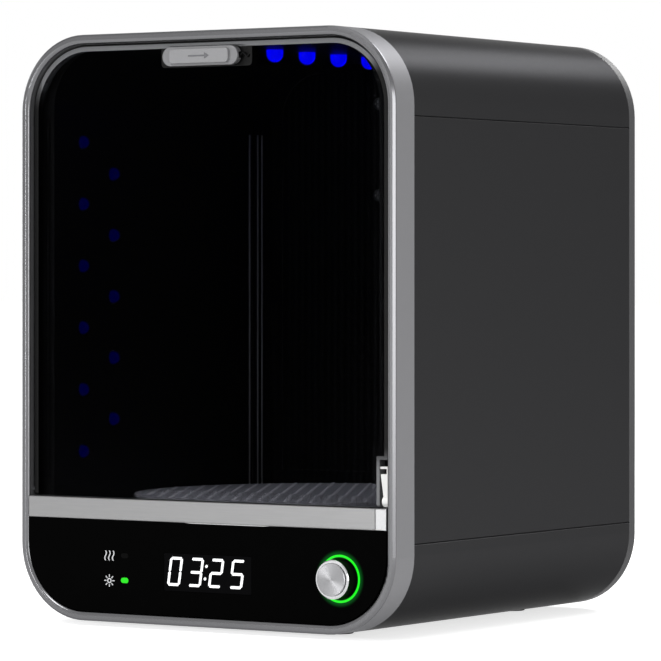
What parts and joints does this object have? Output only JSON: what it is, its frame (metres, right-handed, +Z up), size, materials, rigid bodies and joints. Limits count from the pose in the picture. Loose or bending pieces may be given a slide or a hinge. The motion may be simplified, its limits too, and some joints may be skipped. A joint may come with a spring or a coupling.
{
  "type": "dental light curing unit",
  "caption": "Benchtop light-curing cabinet with a flip-down smoked door, a turntable under blue lamps, a warm-air fan and a push-and-turn knob.",
  "frame": {"origin": "middle of the underside of the feet, at the middle of the overall depth", "axes": "+Z up, -Y is the front with the door, +X is the right-hand side seen from the front"},
  "size_m": [0.21, 0.229, 0.2775],
  "materials": {
    "case_coat": "dark grey satin anodised",
    "ring_coat": "grey anodised with a bright bevelled edge",
    "rear_plastic": "dark grey fine-textured moulding",
    "bar_silver": "satin silver",
    "panel_gloss": "gloss black",
    "window_gloss": "smoked gloss with lit white digits behind",
    "fascia_plastic": "dark grey satin",
    "frame_plastic": "dark grey satin",
    "door_pane": "smoked and polished",
    "reflector": "dark anodised sheet",
    "disc_metal": "satin, light mirrored in dots",
    "silver_trim": "polished trim",
    "knob_metal": "circularly brushed",
    "dark_plastic": "black matte",
    "grip_plastic": "grey satin",
    "light_green": "lit green light guide",
    "lamp_violet": "blue-violet lamp lens",
    "board_green": "circuit board",
    "steel": "plain steel",
    "spring_steel": "spring steel",
    "rubber": "black rubber",
    "acetal": "natural acetal"
  },
  "bodies": {
    "housing": {"front_ring": "ring_coat", "top_cover": "case_coat", "bottom_cover": "case_coat", "left_side_panel": "case_coat", "right_side_panel": "case_coat", "rear_cover": "rear_plastic", "rear_cover_screws": "steel", "rubber_feet": "rubber", "front_chassis": "dark_plastic", "front_fascia": "fascia_plastic", "crossbar": "bar_silver", "hinge_end_cap": "bar_silver", "control_panel": "panel_gloss", "display_window": "window_gloss", "display_module": "dark_plastic", "indicator_light_pipes": "light_green", "knob_light_ring": "light_green", "control_board": "board_green", "encoder_body": "dark_plastic", "left_light_wall": "reflector", "right_light_wall": "reflector", "ceiling_liner": "reflector", "chamber_floor": "reflector", "back_reflector": "reflector", "corner_trims": "silver_trim", "left_led_board": "board_green", "right_led_board": "board_green", "ceiling_led_board": "board_green", "left_leds": "lamp_violet", "right_leds": "lamp_violet", "ceiling_leds": "lamp_violet", "dryer_duct": "dark_plastic", "heater_core": "steel", "fan_frame": "dark_plastic", "dryer_screws": "steel", "power_board": "board_green", "dc_inlet": "dark_plastic", "turntable_motor": "steel", "motor_screws": "steel", "latch_strike": "steel", "door_switch": "dark_plastic", "damper_body": "dark_plastic"},
    "door": {"door_frame": "frame_plastic", "door_glass": "door_pane", "door_rails": "frame_plastic", "door_seals": "rubber", "hinge_sector_arm": "acetal", "hinge_pins": "steel", "latch_spring": "spring_steel"},
    "latch": {"latch_slider": "dark_plastic", "latch_grip": "grip_plastic"},
    "damper_gear": {"damper_gear": "acetal"},
    "turntable": {"turntable_disc": "disc_metal", "turntable_hub": "acetal"},
    "encoder_rotor": {"encoder_rotor": "acetal"},
    "knob": {"knob_shaft": "steel", "knob_skirt": "knob_metal", "knob_rim": "silver_trim", "knob_cap": "knob_metal"},
    "fan_rotor": {"fan_rotor": "dark_plastic"}
  },
  "joints": [
    {"name": "door_hinge", "type": "hinge", "parent": "housing", "child": "door", "pos_m": [0, -0.1023, 0.0633], "axis": [1, 0, 0], "range_deg": [0, 90]},
    {"name": "latch_slide", "type": "slide", "parent": "door", "child": "latch", "axis": [1, 0, 0], "range_m": [0, 0.006], "stiffness_N_per_m": 250, "springref_m": -0.002, "deforming": ["latch_spring"]},
    {"name": "damper_gear_spin", "type": "hinge", "parent": "housing", "child": "damper_gear", "pos_m": [0.0979, -0.0915, 0.07617], "axis": [1, 0, 0], "range_deg": [-225, 0]},
    {"name": "turntable_spin", "type": "hinge", "parent": "housing", "child": "turntable", "pos_m": [0, -0.00645, 0.058], "axis": [0, 0, 1], "continuous": true},
    {"name": "knob_turn", "type": "hinge", "parent": "housing", "child": "encoder_rotor", "pos_m": [0.0755, -0.1, 0.028], "axis": [0, 1, 0], "continuous": true},
    {"name": "knob_push", "type": "slide", "parent": "encoder_rotor", "child": "knob", "axis": [0, 1, 0], "range_m": [0, 0.0007], "stiffness_N_per_m": 2000, "springref_m": -0.0003},
    {"name": "fan_spin", "type": "hinge", "parent": "housing", "child": "fan_rotor", "pos_m": [0, 0.104, 0.2275], "axis": [0, 1, 0], "continuous": true}
  ],
  "couplings": [
    {"joint": "damper_gear_spin", "follows": "door_hinge", "ratio": -2.5}
  ]
}
